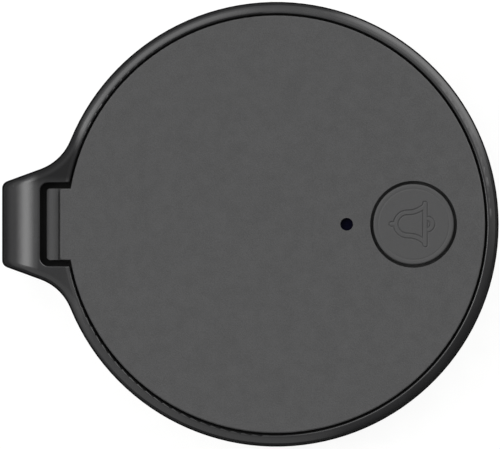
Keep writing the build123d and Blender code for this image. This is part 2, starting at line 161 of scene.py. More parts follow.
class Finish:
    """A node tree under construction, for a material or for the sky."""

    def __init__(self, owner):
        owner.use_nodes = True
        self.owner = owner
        self.tree = owner.node_tree
        self.tree.nodes.clear()

    def add(self, kind, settings=None, inputs=None, output=0):
        """Any shader node: its settings first, then a number or a Field for each named input."""
        node = self.tree.nodes.new("ShaderNode" + kind)
        for name, value in (settings or {}).items():
            setattr(node, name, value)
        for name, value in (inputs or {}).items():
            if isinstance(value, Field):
                self.tree.links.new(value.socket, node.inputs[name])
            else:
                node.inputs[name].default_value = value
        return Field(self, node.outputs[output])

    def place(self):
        """The point on the piece, in metres, in the tag's own frame."""
        return self.add("TexCoord", output="Object")

    def noise(self, size, detail=2.0, roughness=0.5, stretch=(1, 1, 1)):
        """Soft random mottling from 0 to 1 whose spots are about size metres across."""
        scale = [s / size for s in stretch]
        point = self.add("Mapping", {}, {"Vector": self.place(), "Scale": scale})
        return self.add("TexNoise", {}, {"Vector": point, "Scale": 1.0, "Detail": detail,
                                         "Roughness": roughness})

    def axes(self, centre=(0, 0, 0)):
        """The point's X, Y and Z, measured from a centre."""
        point = self.add("Mapping", {}, {"Vector": self.place(), "Location": [-c for c in centre]})
        x = self.add("SeparateXYZ", {}, {"Vector": point}, "X")
        return x, x.twin("Y"), x.twin("Z")

    def radius(self, centre=(0, 0, 0)):
        """Distance from an upright axis through the centre."""
        x, y, _ = self.axes(centre)
        return x.maths("SQRT", x * x + y * y)

    def cells(self, size, feature="F1", output="Distance"):
        """Distance to the middle, or to the edge, of random cells about size metres across."""
        point = self.add("Mapping", {}, {"Vector": self.place(), "Scale": [1 / size] * 3})
        return self.add("TexVoronoi", {"feature": feature}, {"Vector": point, "Scale": 1.0}, output)

    def blend(self, amount, dark, light):
        """Colour that goes from dark to light as amount goes from 0 to 1."""
        mix = self.tree.nodes.new("ShaderNodeMix")
        mix.data_type = "RGBA"
        self.tree.links.new(amount.socket, mix.inputs[0])
        for slot, colour in ((6, dark), (7, light)):
            if isinstance(colour, Field):
                self.tree.links.new(colour.socket, mix.inputs[slot])
            else:
                mix.inputs[slot].default_value = (*colour, 1)
        return Field(self, mix.outputs[2])

    def relief(self, height, depth, under=None):
        """A Bump node: height from 0 to 1 stands for depth metres."""
        inputs = {"Height": height, "Distance": depth, "Strength": 1.0}
        if under is not None:
            inputs["Normal"] = under
        return self.add("Bump", {}, inputs, "Normal")

    def shader(self, **inputs):
        """A Principled shader. An underscore in a name stands for a space."""
        named = {name.replace("_", " "): value for name, value in inputs.items()}
        return self.add("BsdfPrincipled", {}, named)

    def shade(self, **inputs):
        """Ends the tree in a Principled shader and gives the material."""
        return self.end(self.shader(**inputs))

    def end(self, shader, kind="OutputMaterial"):
        """Wires the shader to the tree's output and gives back the material or the sky."""
        target = self.tree.nodes.new("ShaderNode" + kind)
        self.tree.links.new(shader.socket, target.inputs["Surface"])
        return self.owner


# %% Materials from finishes


def new_finish(name):
    """A finish for a new material of that name."""
    return Finish(bpy.data.materials.new(name))


def apply(material, *names):
    """Gives the named CAD pieces this material in place of their plain packed one."""
    for name in names:
        nodes[name].material_slots[0].material = material
    print(material.name, "on", ", ".join(names))


print("ready to finish", len(nodes), "CAD pieces")

# %% [markdown]
# ## The studio
# A glossy black rim shows nothing but what it mirrors, so the studio is built for its reflections. Lamps
# could do it, but their edges are hard and each new one is another thing to place. Here the soft boxes
# are feathered patches of one painted sky, each given by its azimuth and its height in degrees: the
# middle, how far it is fully bright, and how far it fades out. The tall one on the left draws the bright
# band across the bail, its higher neighbour lights the upper rim, and a low, wide one on the right draws
# the line along the rim. A dark flag at the lower right leaves that part of the rim dark. Below the
# horizon there is hardly any light, which gives the dark outline, except near the bail, where the table
# shines.

# %% Sky with its soft boxes
SKY_LEVEL = 0.9
LOW_LEVEL = 0.03
TABLE_LEVEL = 0.6
TALL_LEFT_LEVEL = 4.6
UPPER_LEFT_LEVEL = 2.1
LOW_RIGHT_LEVEL = 2.9
ZENITH_LOSS = 0.45
FLAG_DEPTH = 0.96


def studio_sky():
    """Even light from above, feathered soft boxes and a dark flag, and plain white behind the tag."""
    finish = Finish(bpy.data.worlds.new("studio_sky"))
    x, y, z = finish.axes()
    azimuth = x.maths("ARCTAN2", x * -1, y) * math.degrees(1) + 90
    rise = z.maths("ARCSINE", z) * math.degrees(1)
    flag = azimuth.near(-42, 26, 44) * (1 - rise.step(80, 89))
    table = TABLE_LEVEL * azimuth.near(180, 30, 50) * rise.step(-50, -3)
    above = rise.step(-3, 3) * (1 - ZENITH_LOSS * rise.step(55, 85))
    even = SKY_LEVEL * z.maths("MAXIMUM", above, table) * (1 - FLAG_DEPTH * flag)
    tall_left = TALL_LEFT_LEVEL * azimuth.near(174, 10, 30) * rise.near(44, 0, 42)
    upper_left = UPPER_LEFT_LEVEL * azimuth.near(130, 26, 37) * rise.near(54, 8, 36)
    low_right = LOW_RIGHT_LEVEL * azimuth.near(46, 18, 32) * rise.near(12, 10, 80)
    level = even + tall_left + upper_left + low_right + LOW_LEVEL
    light = finish.add("Background", {}, {"Color": (1, 1, 1, 1), "Strength": level})
    backdrop = finish.add("Background", {}, {"Color": (1, 1, 1, 1), "Strength": 1.0})
    seen = finish.add("LightPath", output="Is Camera Ray")
    return finish.end(finish.add("MixShader", {}, {0: seen, 1: light, 2: backdrop}), "OutputWorld")


bpy.context.scene.world = studio_sky()
print("sky level", SKY_LEVEL, "of white paper")

# %% [markdown]
# ## The floor
# The tag lies on a back-lit sheet, the usual way to get a clean white page without a cut-out. Most of the
# sheet's brightness is its own glow, and the little that it takes from the sky leaves a faint contact
# shadow. It is one-sided, so a look from below still finds the tag, and it is kept out of the gloss. It
# isn't sampled as a lamp, because a lamp that large, a hair from the tag's back, would light it unevenly.

# %% Back-lit sheet
FLOOR_DROP = 0.03 * MM
FLOOR_HALF = 4.0


def backlit_paper():
    """White sheet with a faint fibre that glows by itself; its back is clear."""
    finish = new_finish("backlit_paper")
    fibre = finish.noise(2.0 * MM, detail=4)
    tone = finish.blend(fibre, (0.10, 0.10, 0.099), (0.12, 0.12, 0.119))
    glow = finish.blend(fibre, (0.89, 0.89, 0.888), (0.91, 0.91, 0.908))
    paper = finish.shader(Base_Color=tone, Roughness=1.0, Specular_IOR_Level=0.0, Emission_Color=glow,
                          Emission_Strength=1.0, Normal=finish.relief(fibre, 0.01 * MM))
    clear = finish.add("BsdfTransparent")
    back = finish.add("NewGeometry", output="Backfacing")
    return finish.end(finish.add("MixShader", {}, {0: back, 1: paper, 2: clear}))


def floor_sheet():
    """A square sheet eight metres across, just under the lowest point of the tag."""
    mesh = bpy.data.meshes.new("paper_floor")
    corners = np.array([(-1, -1), (1, -1), (1, 1), (-1, 1)]) * FLOOR_HALF
    mesh.from_pydata([(x, y, cad_low.z - FLOOR_DROP) for x, y in corners], [], [(0, 1, 2, 3)])
    mesh.materials.append(backlit_paper())
    mesh.materials[0].cycles.emission_sampling = "NONE"
    floor = bpy.data.objects.new("paper_floor", mesh)
    floor.visible_glossy = False
    floor.visible_shadow = False
    bpy.context.scene.collection.objects.link(floor)


floor_sheet()
print("floor", round(FLOOR_DROP / MM, 2), "mm under the tag")

# %% [markdown]
# ## The outside finishes
# The cover and the button are moulded against a spark-eroded tool, which leaves an even, dull grain about
# a tenth of a millimetre across. A picture of grain would not follow the part, so the grain is noise in
# the part's own millimetres, used both as colour and as relief. The bezel is the same plastic from a
# polished tool: nearly smooth, with a slight waviness and a few smears in its gloss.

# %% Grained plastic


def grained_shader(finish, tone, grain, depth, dullness, contrast=0.07, gloss=0.5):
    """Dull moulding: fine noise and small pits make the relief, and two sizes of mottling the colour."""
    fine = finish.noise(grain, detail=3, roughness=0.6)
    pits = finish.cells(1.6 * grain)
    broad = finish.noise(9 * grain, detail=2)
    mottle = (fine * 0.7 + broad * 0.3).step(0.3, 0.7)
    dark, light = [(1 - contrast) * t for t in tone], [(1 + contrast) * t for t in tone]
    return finish.shader(Base_Color=finish.blend(mottle, dark, light),
                         Roughness=(dullness - 0.06 + 0.12 * broad).clipped(),
                         Normal=finish.relief(fine + pits * 0.5, depth), Specular_IOR_Level=gloss)


def grained_plastic(name, tone, grain, depth, dullness, contrast=0.07, gloss=0.5):
    """A material that is grained all over."""
    finish = new_finish(name)
    return finish.end(grained_shader(finish, tone, grain, depth, dullness, contrast, gloss))


print("grain of one size and pits of 1.6 times that size")

# %% Polished plastic


def polished_shader(finish, tone, dullness, gloss=0.5, under=None):
    """Glossy moulding: slow waves in the surface, and smears and dust that dull it a little."""
    waves = finish.noise(1.6 * MM, detail=1)
    smears = finish.noise(3.0 * MM, detail=4, stretch=(1, 0.35, 1)).step(0.35, 0.75)
    dust = finish.noise(0.12 * MM, detail=2).step(0.68, 0.8)
    light = [1.25 * t + 0.002 for t in tone]
    return finish.shader(Base_Color=finish.blend(smears * 0.5 + dust * 0.5, tone, light),
                         Roughness=(dullness + 0.05 * smears + 0.1 * dust).clipped(),
                         Normal=finish.relief(waves, 0.0012 * MM, under), Specular_IOR_Level=gloss)


def polished_plastic(name, tone, dullness, gloss=0.5):
    """A material that is polished all over."""
    finish = new_finish(name)
    return finish.end(polished_shader(finish, tone, dullness, gloss))


pipe_smoke = polished_plastic("smoked_resin", (0.0008, 0.0008, 0.0055), 0.3, gloss=0.02)
apply(pipe_smoke, "light_pipe")

# %% Cover and button
cover_low, cover_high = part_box("front_cover")
COVER_TONE = (0.0391, 0.0391, 0.0396)
# The lip's deeper tone is painted shade: it keeps the lip, which leans to the tall box, below the panel.
LIP_SHADE_TONE = (0.025, 0.025, 0.0255)
LIP_WIDTH = 1.2 * MM


def cover_finish():
    """Dull grain all over, with painted shade on the pry tab's lip, which leans towards the tall box."""
    finish = new_finish("cover_grain_lip_shade")
    x = finish.axes()[0]
    lip = 1 - x.step(cover_low.x + 0.9 * LIP_WIDTH, cover_low.x + LIP_WIDTH)
    panel, edge = [grained_shader(finish, tone, 0.11 * MM, 0.007 * MM, 0.64, contrast=0.2, gloss=0.35)
                   for tone in (COVER_TONE, LIP_SHADE_TONE)]
    return finish.end(finish.add("MixShader", {}, {0: lip, 1: panel, 2: edge}))


apply(cover_finish(), "front_cover")
button_grey = grained_plastic("button_grain", (0.0377, 0.0377, 0.0382), 0.09 * MM, 0.004 * MM, 0.62,
                              gloss=0.35)

# %% [markdown]
# ## The bezel: polished rim, with painted shade in the matt hollows and on the upper waist
# The rim and the front of the bail are glossy. The well under the cover and the slot for the pry tab are
# dead matt and a shade darker than the rim: partly a real unpolished inside, partly painted shade in these
# hollows. The waist above the slot is painted much darker than the one below it: a darker satin is mixed
# in by two amounts, as painted shade. The inner edge of the rim mirrors the sky as if it sloped a little,
# and the CAD's rim is flat there, so a very low crown is added as relief. The zones and amounts were set
# by comparing brightness, and another light might look the same. Several materials would need the mesh to
# be cut, and this mesh is kept as it is, so one material mixes three shaders by position.

# %% Where the bezel changes its finish
bezel_low, bezel_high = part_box("bezel_frame")
COVER_GAP = 0.18 * MM
TAB_TIP_GAP = 0.61 * MM
SLOT_HALF_WIDTH = 3.75 * MM
BLEND = 0.05 * MM
HOLLOW_DEPTH = 0.16 * MM
well_radius = cover_high.y + COVER_GAP
slot_end_x = cover_low.x - TAB_TIP_GAP
CROWN_WIDTH = 0.4 * MM
CROWN_HEIGHT = 0.045 * MM
WAIST_X = -19.7 * MM
WAIST_REACH = 1.5 * MM
WAIST_Y = 3.3 * MM
WAIST_FADE = 1.1 * MM
# How much darker satin is mixed in above and below the slot: painted shade on the waists.
UPPER_WAIST_SATIN_SHADE = 0.88
LOWER_WAIST_SATIN_SHADE = 0.1
print("the polish stops", round(well_radius / MM, 2), "mm from the axis")

# %% Bezel finish


def dead_matt_shade(finish, tone=(0.010, 0.010, 0.010)):
    """Rough black that hardly mirrors anything, with a fine spark texture; here it paints shade."""
    sparks = finish.noise(0.1 * MM, detail=3)
    light = [1.5 * t for t in tone]
    return finish.shader(Base_Color=finish.blend(sparks, tone, light), Roughness=0.7,
                         Specular_IOR_Level=0.05, Normal=finish.relief(sparks, 0.006 * MM))


def bezel_finish():
    """Charcoal gloss; painted shade as darker satin at the waists and dead matt in the well and slot."""
    finish = new_finish("polished_charcoal_and_shade")
    x, y, z = finish.axes()
    in_well = 1 - finish.radius().step(well_radius, well_radius + 0.8 * BLEND)
    past_slot = x.step(-0.95 * well_radius, -0.94 * well_radius)
    along_slot = x.step(slot_end_x - BLEND, slot_end_x) * (1 - past_slot)
    in_slot = along_slot * y.near(0, SLOT_HALF_WIDTH, SLOT_HALF_WIDTH + BLEND)
    under_rim = 1 - z.step(bezel_high.z - HOLLOW_DEPTH, bezel_high.z - 0.25 * HOLLOW_DEPTH)
    # Painted shade: the well and the slot take the darker dead matt, besides being unpolished.
    hollow = x.maths("MAXIMUM", in_well, in_slot) * under_rim
    beside_slot = x.near(WAIST_X, WAIST_REACH, WAIST_REACH + WAIST_FADE)
    upper = y.step(WAIST_Y, WAIST_Y + WAIST_FADE)
    lower = 1 - y.step(-WAIST_Y - WAIST_FADE, -WAIST_Y)
    fall = ((well_radius + CROWN_WIDTH - finish.radius()) * (1 / CROWN_WIDTH)).clipped()
    gloss = polished_shader(finish, (0.012, 0.012, 0.0125), 0.2, under=finish.relief(fall, CROWN_HEIGHT))
    # Painted shade: a darker, duller satin over the waists, far more above the slot than below it.
    satin_shade = dead_matt_shade(finish, (0.0075, 0.0075, 0.0078))
    duller_and_shaded = beside_slot * (UPPER_WAIST_SATIN_SHADE * upper + LOWER_WAIST_SATIN_SHADE * lower)
    outside = finish.add("MixShader", {}, {0: duller_and_shaded, 1: gloss, 2: satin_shade})
    return finish.end(finish.add("MixShader", {}, {0: hollow, 1: outside, 2: dead_matt_shade(finish)}))


apply(bezel_finish(), "bezel_frame")

# %% [markdown]
# ## The rear shell and its edge
# The shell has an even spark texture. Its upper edge stands a hair proud of the bezel all round, and that
# thin line is painted near black in a dead matt finish of its own: painted shade along the outline.

# %% Rear shell finish
EDGE_BOTTOM = 0.35 * MM
EDGE_TOP = 0.2 * MM


def shell_finish():
    """Grained black, mixed with a near-black dead matt along the upper edge as a painted shade line."""
    finish = new_finish("shell_grain_and_shade_line")
    z = finish.axes()[2]
    edge = z.step(bezel_low.z - EDGE_BOTTOM, bezel_low.z - EDGE_TOP)
    grain = grained_shader(finish, (0.012, 0.012, 0.0125), 0.16 * MM, 0.008 * MM, 0.55, gloss=0.4)
    # Painted shade: the upper edge is near black, far darker than the grained shell.
    shade_line_black = dead_matt_shade(finish, (0.001, 0.001, 0.001))
    return finish.end(finish.add("MixShader", {}, {0: edge, 1: grain, 2: shade_line_black}))


apply(shell_finish(), "rear_shell")

# %% [markdown]
# ## Surfaces from formulas
# The finer pieces are not in the CAD. Box modelling would do, but each of these shapes has a plain
# formula, so every one is a grid of points worked out by numpy for the whole surface at once. One helper
# turns grids into a mesh: it joins neighbours with quads, closes the seam and the poles, turns every face
# outwards and keeps sharp corners sharp.

# %% Grids to meshes
MERGE = 0.0002 * MM


def solid_from(name, grids, material, body, crease=50):
    """One piece from closed grids of shape (rows, columns, 3), whose columns run once round."""
    points, quads, start = [], [], 0
    for grid in grids:
        rows, columns = grid.shape[:2]
        index = start + np.arange(rows * columns).reshape(rows, columns)
        ring = np.concatenate([index, index[:, :1]], axis=1)
        quads.append(np.stack([ring[:-1, :-1], ring[1:, :-1], ring[1:, 1:], ring[:-1, 1:]], axis=-1))
        points.append(grid.reshape(-1, 3))
        start += rows * columns
    mesh = bpy.data.meshes.new(name)
    faces = np.concatenate([q.reshape(-1, 4) for q in quads])
    mesh.from_pydata(np.concatenate(points).tolist(), [], faces.tolist())
    work = bmesh.new()
    work.from_mesh(mesh)
    bmesh.ops.remove_doubles(work, verts=work.verts, dist=MERGE)
    bmesh.ops.dissolve_degenerate(work, edges=work.edges, dist=MERGE / 2)
    bmesh.ops.recalc_face_normals(work, faces=work.faces)
    work.to_mesh(mesh)
    work.free()
    mesh.polygons.foreach_set("use_smooth", np.ones(len(mesh.polygons), bool))
    mesh.set_sharp_from_angle(angle=math.radians(crease))
    mesh.materials.append(material)
    piece = bpy.data.objects.new(name, mesh)
    bpy.context.scene.collection.objects.link(piece)
    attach(piece, body)
    print(name, "has", len(mesh.polygons), "faces")
    return piece


print("points closer than", round(MERGE / MM, 4), "mm become one")

# %% Turned, rounded, cushioned and ribbon-like grids


def turned(profile, sides, centre=(0, 0)):
    """A (radius, height) profile carried round an upright axis: x = r cos a, y = r sin a, z = height."""
    angle = np.linspace(0, 2 * math.pi, sides, endpoint=False)[None, :]
    radius, height = profile[:, :1], profile[:, 1:]
    return np.stack([centre[0] + radius * np.cos(angle), centre[1] + radius * np.sin(angle),
                     height + 0 * angle], axis=-1)


def corner(centre, radius, start, stop, points=7):
    """A quarter of a circle in a profile, from one angle in degrees to another."""
    angle = np.radians(np.linspace(start, stop, points))
    return np.stack([centre[0] + radius * np.cos(angle), centre[1] + radius * np.sin(angle)], axis=1)


def pillow(size, centre, softness=0.18, rows=14, columns=24):
    """Superellipsoid: the sines and cosines of latitude and longitude, raised to the softness.

    1 gives an ellipsoid, and a small softness gives a box with rounded edges.
    """
    latitude = np.linspace(-math.pi / 2, math.pi / 2, rows)[:, None]
    longitude = np.linspace(0, 2 * math.pi, columns, endpoint=False)[None, :]

    def soft(value):
        return np.sign(value) * np.abs(value) ** softness

    across = soft(np.cos(latitude)) * soft(np.cos(longitude))
    deep = soft(np.cos(latitude)) * soft(np.sin(longitude))
    high = soft(np.sin(latitude)) + 0 * longitude
    return np.array(centre) + np.stack([across, deep, high], axis=-1) * np.array(size) / 2


def ribbon(path, width, height, around=8):
    """A flat bar along a path of points: at each one, a flattened oval stands square to the path."""
    along = np.gradient(path, axis=0)
    along /= np.linalg.norm(along, axis=1, keepdims=True)
    side = np.cross([0, 0, 1], along)
    angle = np.linspace(0, 2 * math.pi, around, endpoint=False)[None, :, None]
    outward = side[:, None] * np.cos(angle) * width / 2
    upward = np.array([0, 0, 1]) * np.sin(angle) * height
    rings = path[:, None] + outward + upward
    ends = np.repeat(path[[0, -1], None], around, axis=1)
    return np.concatenate([ends[:1], rings, ends[1:]])


print("a pillow has", pillow((1, 1, 1), (0, 0, 0)).shape[:2], "rows and columns of points")

# %% [markdown]
# ## The button and its symbol
# The button carries a shallow symbol, here a plain bell: fine engraved lines on both sides of each
# stroke, and one faint ring near the edge. A bump map would fade at a low angle, so the lines are cut
# into the surface. For each point of the top, the distance to the nearest stroke of the bell is worked
# out, and a groove is cut where that distance is half a stroke. The body of the button is a turned
# profile with a hollow and a stem.

# %% Bell symbol
STROKE = 0.42 * MM
GROOVE_WIDTH = 0.045 * MM
GROOVE_DEPTH = 0.07 * MM
BELL_SCALE = 1.22 * MM


def bell_strokes():
    """Points along the middle of the bell's strokes, upright when the tag hangs from its bail.

    The half width is a quarter ellipse over the first 0.4 of the height, plus a flare that grows as
    a power of the rest.
    """
    down = np.linspace(0, 1, 160)
    dome = 0.85 * np.sqrt(1 - (1 - np.minimum(down / 0.4, 1)) ** 2)
    half = dome + 0.5 * (np.maximum(0, down - 0.4) / 0.6) ** 2.2
    height = 1.3 - 2.15 * down
    foot = height[-1]
    base = np.linspace(-1.5, 1.5, 140)
    swing = np.radians(np.linspace(200, 340, 70))
    knob = np.linspace(1.3, 1.62, 12)
    strokes = [(half, height), (-half, height), (base, foot + 0 * base), (0 * knob, knob),
               (0.42 * np.cos(swing), foot - 0.12 + 0.42 * np.sin(swing))]
    points = np.concatenate([np.stack(stroke, axis=1) for stroke in strokes])
    return BELL_SCALE * np.stack([-points[:, 1], points[:, 0]], axis=1)


def nearest(points, strokes):
    """Distance from each point of the surface to the nearest point of the strokes, a part at a time."""
    flat = points.reshape(-1, 2)
    best = np.full(len(flat), np.inf)
    for part in np.array_split(strokes, 12):
        gap = np.linalg.norm(flat[:, None] - part[None], axis=2).min(axis=1)
        best = np.minimum(best, gap)
    return best.reshape(points.shape[:-1])


print("the bell is", round(3.0 * BELL_SCALE / MM, 2), "mm wide, drawn with", len(bell_strokes()), "points")

# %% Push button
cap_low, cap_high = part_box("button_cap")
button_x = (cap_low.x + cap_high.x) / 2
FLANGE_R = (cap_high.x - cap_low.x) / 2
BUTTON_R = FLANGE_R - 0.58 * MM
EDGE_R = 0.15 * MM
RING_R = 0.88 * BUTTON_R
FLANGE_TOP = cap_high.z - 1.15 * MM
FLANGE_BOTTOM = cap_high.z - 1.6 * MM
HOLLOW_R = BUTTON_R - 0.8 * MM
HOLLOW_TOP = cap_high.z - 1.0 * MM
STEM_R = 1.1 * MM
TOP_ROWS = 150
BUTTON_SIDES = 360


def push_button():
    """The closed profile, turned, with the bell and the ring then cut into its top."""
    inner = BUTTON_R - EDGE_R
    top = np.stack([np.linspace(0, inner, TOP_ROWS), np.full(TOP_ROWS, cap_high.z)], axis=1)
    edge = corner((inner, cap_high.z - EDGE_R), EDGE_R, 90, 0)[1:]
    below = np.array([(BUTTON_R, FLANGE_TOP), (FLANGE_R, FLANGE_TOP), (FLANGE_R, FLANGE_BOTTOM),
                      (HOLLOW_R, FLANGE_BOTTOM), (HOLLOW_R, HOLLOW_TOP), (STEM_R, HOLLOW_TOP),
                      (STEM_R, cap_low.z), (0, cap_low.z)])
    grid = turned(np.concatenate([top, edge, below]), BUTTON_SIDES)
    face = grid[:len(top)]
    lines = np.exp(-((nearest(face[..., :2], bell_strokes()) - STROKE / 2) / GROOVE_WIDTH) ** 2)
    ring = np.exp(-((np.linalg.norm(face[..., :2], axis=-1) - RING_R) / (1.6 * GROOVE_WIDTH)) ** 2)
    face[..., 2] -= GROOVE_DEPTH * lines + 0.25 * GROOVE_DEPTH * ring
    grid[..., 0] += button_x
    return grid


button = solid_from("push_button", [push_button()], button_grey, "button")
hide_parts("button_cap")

# %% [markdown]
# ## Finishes for the inside
# Lifting the cover shows the works, so each of them gets the finish of its trade. Metals differ by how
# they were worked: sheet that was rolled has straight streaks, and a can that was drawn and polished on a
# lathe has rings. Ceramics are speckled, the board shows its glass weave through the green mask, and foam
# is all pores.

# %% Rolled metal


def rolled_metal(name, tone, dullness):
    """Streaks that run along X from the rolling mill, and dull patches from handling."""
    finish = new_finish(name)
    streaks = finish.noise(0.06 * MM, detail=3, stretch=(0.05, 1, 1))
    handled = finish.noise(1.4 * MM, detail=3).step(0.35, 0.75)
    dark = [0.72 * t for t in tone]
    return finish.shade(Base_Color=finish.blend(streaks * 0.5 + handled * 0.4, tone, dark), Metallic=1.0,
                        Roughness=(dullness + 0.12 * streaks + 0.12 * handled).clipped(),
                        Normal=finish.relief(streaks, 0.003 * MM))


spring = rolled_metal("spring_strip", (0.30, 0.292, 0.28), 0.38)
apply(spring, "switch_plate", "switch_dome", "positive_contact", "negative_contact", "sounder_contacts")

# %% Turned metal
cell_low, cell_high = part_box("cell_can")
cell_centre = ((cell_low.x + cell_high.x) / 2, 0, 0)
disc_centre = (0, 0, 0)


def turned_metal(name, tone, dullness, centre):
    """Fine rings round an upright axis, crossed by a few random scratches."""
    finish = new_finish(name)
    ring_place = finish.add("CombineXYZ", {}, {"X": finish.radius(centre) * (1 / (0.07 * MM))})
    rings = finish.add("TexNoise", {}, {"Vector": ring_place, "Scale": 1.0, "Detail": 3.0})
    scratches = finish.noise(0.5 * MM, detail=4, stretch=(0.2, 3, 1)).near(0.5, 0.0, 0.02)
    dark = [0.75 * t for t in tone]
    return finish.shade(Base_Color=finish.blend(rings * 0.6 + scratches * 0.3, tone, dark), Metallic=1.0,
                        Roughness=(dullness + 0.14 * rings + 0.1 * scratches).clipped(),
                        Normal=finish.relief(rings + scratches * 0.4, 0.003 * MM))


can_steel = turned_metal("nickelled_can", (0.56, 0.545, 0.51), 0.26, cell_centre)
crystal_corner = tuple(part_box("crystal")[0])
apply(can_steel, "cell_can", "cell_cap")
apply(turned_metal("crystal_can", (0.32, 0.31, 0.285), 0.38, crystal_corner), "crystal")
apply(turned_metal("sounder_brass", (0.72, 0.50, 0.20), 0.25, disc_centre), "sounder_plate")
apply(turned_metal("silvered_ceramic", (0.78, 0.77, 0.74), 0.4, disc_centre), "sounder_ceramic")
apply(turned_metal("zinc_screw", (0.32, 0.327, 0.34), 0.36, disc_centre), "case_screws")

# %% Tinned metal


def tinned_metal(name, tone):
    """Solder that froze: smooth, with soft ripples and a slightly frosted skin."""
    finish = new_finish(name)
    ripples = finish.noise(0.18 * MM, detail=2)
    frost = finish.noise(0.05 * MM, detail=3).step(0.4, 0.8)
    dark = [0.7 * t for t in tone]
    return finish.shade(Base_Color=finish.blend(frost, tone, dark), Metallic=1.0,
                        Roughness=(0.22 + 0.2 * frost).clipped(), Normal=finish.relief(ripples, 0.012 * MM))


solder = tinned_metal("frozen_solder", (0.55, 0.55, 0.56))
gilding = tinned_metal("gilded_pad", (0.85, 0.58, 0.24))
apply(solder, "switch_terminals")

# %% Ceramic


def fired_ceramic(name, tone, dullness=0.45):
    """Sintered body: pale and dark specks a few hundredths of a millimetre across, and tiny pores."""
    finish = new_finish(name)
    specks = finish.noise(0.05 * MM, detail=3, roughness=0.7)
    pores = finish.cells(0.11 * MM).step(0.0, 0.25)
    dark, light = [0.7 * t for t in tone], [min(1, 1.3 * t) for t in tone]
    return finish.shade(Base_Color=finish.blend(specks, dark, light),
                        Roughness=(dullness + 0.2 * specks).clipped(),
                        Normal=finish.relief(pores, 0.004 * MM))


apply(fired_ceramic("antenna_ceramic", (0.30, 0.42, 0.55)), "chip_antenna")
apply(fired_ceramic("capacitor_ceramic", (0.26, 0.17, 0.10)), "passives")
apply(fired_ceramic("coil_ferrite", (0.035, 0.034, 0.036), 0.55), "power_inductor")
apply(fired_ceramic("pressed_powder", (0.06, 0.06, 0.06), 0.75), "cell_core")

# %% Board laminate
CLOTH_PITCH = 0.45 * MM


def masked_laminate(name, tone):
    """Green lacquer over glass cloth: two crossed waves make the weave, and copper shows as paler areas."""
    finish = new_finish(name)
    x, y, _ = finish.axes()
    warp = x.maths("SINE", x * (2 * math.pi / CLOTH_PITCH))
    weft = y.maths("SINE", y * (2 * math.pi / CLOTH_PITCH))
    weave = (warp * weft * 0.5 + 0.5).clipped()
    copper = finish.noise(3.2 * MM, detail=1).step(0.5, 0.53)
    dust = finish.noise(0.15 * MM, detail=3)
    dark, light = [0.75 * t for t in tone], [1.5 * t for t in tone]
    return finish.shade(Base_Color=finish.blend(copper * 0.3 + weave * 0.3 + dust * 0.2, dark, light),
                        Roughness=(0.26 + 0.12 * dust).clipped(),
                        Normal=finish.relief(weave * 0.4 + copper * 0.3, 0.012 * MM))


mask_green = masked_laminate("green_mask", (0.010, 0.075, 0.030))
track_green = masked_laminate("masked_copper", (0.030, 0.190, 0.070))
apply(mask_green, "circuit_board")

# %% Rubber and foam


def soft_rubber(name, tone):
    """Silicone: matt, with a bloom of dust in its low places."""
    finish = new_finish(name)
    bloom = finish.noise(0.5 * MM, detail=4)
    skin = finish.noise(0.04 * MM, detail=2)
    light = [2.0 * t + 0.01 for t in tone]
    return finish.shade(Base_Color=finish.blend(bloom.step(0.4, 0.8), tone, light),
                        Roughness=(0.5 + 0.15 * bloom).clipped(), Normal=finish.relief(skin, 0.004 * MM))


def open_foam(name, tone):
    """Cut foam: the walls of its cells stand up round pores that are painted darker as shade."""
    finish = new_finish(name)
    walls = finish.cells(0.22 * MM, feature="DISTANCE_TO_EDGE").step(0.02, 0.2)
    # The pores get painted shade: darker towards the middle of each cell.
    dark = [0.35 * t for t in tone]
    return finish.shade(Base_Color=finish.blend(walls, tone, dark),
                        Roughness=(0.85 + 0.1 * walls).clipped(),
                        Normal=finish.relief(1 - walls, 0.05 * MM))


apply(soft_rubber("silicone_rubber", (0.012, 0.012, 0.013)), "rear_seal", "cover_seal")
apply(soft_rubber("clear_adhesive", (0.30, 0.26, 0.16)), "sounder_bond")
apply(open_foam("pad_foam", (0.06, 0.06, 0.065)), "cell_pad")

# %% Plastics inside
MOULDINGS = [
    ("satin_black", (0.013, 0.013, 0.014), 0.09, 0.004, 0.42, 0.2, "cell_cradle"),
    ("mould_compound", (0.018, 0.018, 0.020), 0.07, 0.006, 0.5, 0.3, "radio_chip"),
    ("glass_nylon", (0.03, 0.03, 0.032), 0.06, 0.006, 0.5, 0.25, "switch_body"),
    ("natural_acetal", (0.62, 0.60, 0.54), 0.12, 0.003, 0.35, 0.07, "switch_plunger"),
    ("gasket_nylon", (0.05, 0.05, 0.06), 0.1, 0.003, 0.4, 0.07, "cell_gasket"),
]
for name, tone, grain, depth, dullness, contrast, node in MOULDINGS:
    apply(grained_plastic(name, tone, grain * MM, depth * MM, dullness, contrast), node)
apply(polished_plastic("led_resin", (0.75, 0.72, 0.45), 0.14), "indicator_led")

# %% [markdown]
# ## The coin cell
# The cell's can is drawn from one disc of steel, so its shoulder is round, not chamfered, and its
# polarity is stamped in the flat. A boolean would leave poor faces round the stamp, so the can is a
# turned profile with the plus sign pressed in by a formula: a point is in the sign when it is near one
# bar and within its length.

# %% Coin cell can
PLUS_ARM = 1.5 * MM
PLUS_HALF_WIDTH = 0.25 * MM
PLUS_AWAY = 6.6 * MM
STAMP_DEPTH = 0.07 * MM
CAN_WALL = 0.25 * MM
SHOULDER_R = 0.35 * MM
CRIMP_R = 0.4 * MM
CRIMP_LIP = 0.3 * MM
CAN_ROWS = 190
CAN_SIDES = 320
STAMP_SLOPE = 0.1 * MM


def bar_depth(along, across):
    """1 inside a bar and 0 outside, with a sloping edge a tenth of a millimetre wide."""
    ends = np.clip((PLUS_ARM - np.abs(along)) / STAMP_SLOPE, 0, 1)
    sides = np.clip((PLUS_HALF_WIDTH - np.abs(across)) / STAMP_SLOPE, 0, 1)
    return ends * sides


